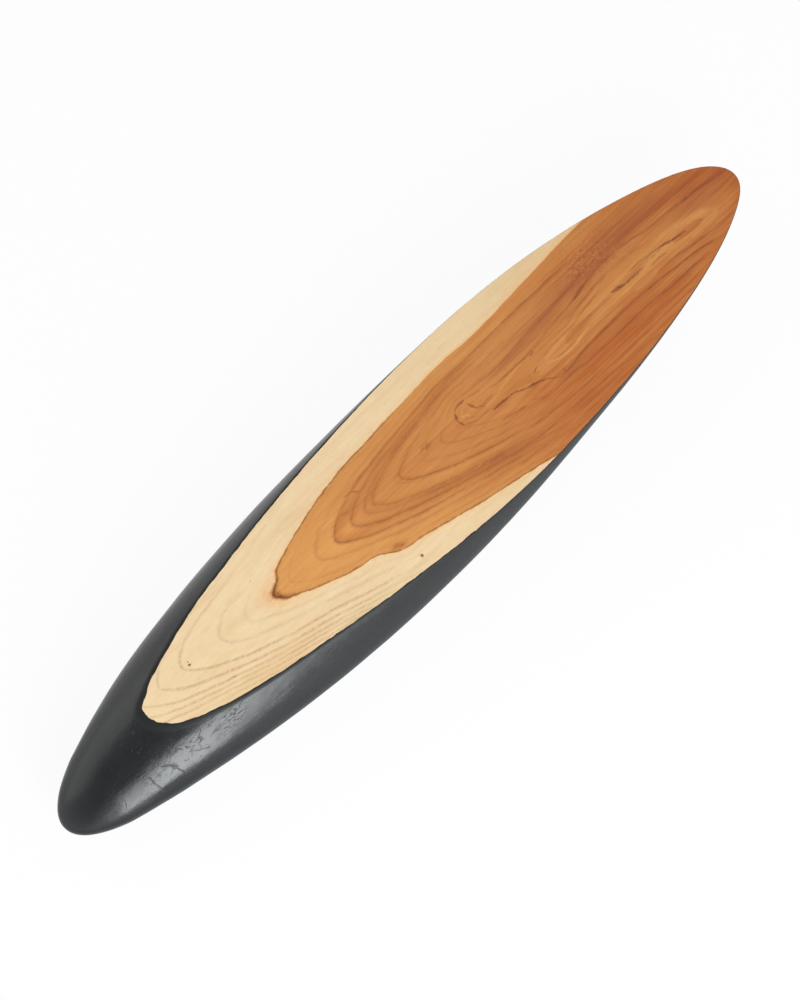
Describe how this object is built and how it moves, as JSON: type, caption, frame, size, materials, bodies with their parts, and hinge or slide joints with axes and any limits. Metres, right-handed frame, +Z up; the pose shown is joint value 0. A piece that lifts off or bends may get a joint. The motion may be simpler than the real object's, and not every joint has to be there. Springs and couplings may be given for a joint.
{
  "type": "serving plate",
  "caption": "Long oval wooden serving plate carved from one slant-sawn billet, with a flat serving face, black rounded sides and a flat foot.",
  "frame": {"origin": "in the plane of the flat foot, under the middle of the oval outline", "axes": "+X along the plate from the rounded nose to the thin tip, +Y to the left of that, +Z up out of the serving face"},
  "size_m": [0.5, 0.1032, 0.045],
  "materials": {
    "heartwood": "sanded orange-brown heartwood with darker growth lines, oiled",
    "sapwood": "sanded pale cream sapwood with faint grey-brown growth lines",
    "pith": "soft dark brown core of the log",
    "knot_wood": "dense brown knot wood, sanded flush",
    "black_finish": "satin black stain and lacquer over carved wood"
  },
  "bodies": {
    "root": {"heartwood": "heartwood", "sapwood": "sapwood", "pith": "pith", "branch_knot": "knot_wood", "pin_knot_nose": "knot_wood", "pin_knot_side": "knot_wood", "pin_knot_edge": "knot_wood", "black_finish": "black_finish"}
  },
  "joints": []
}
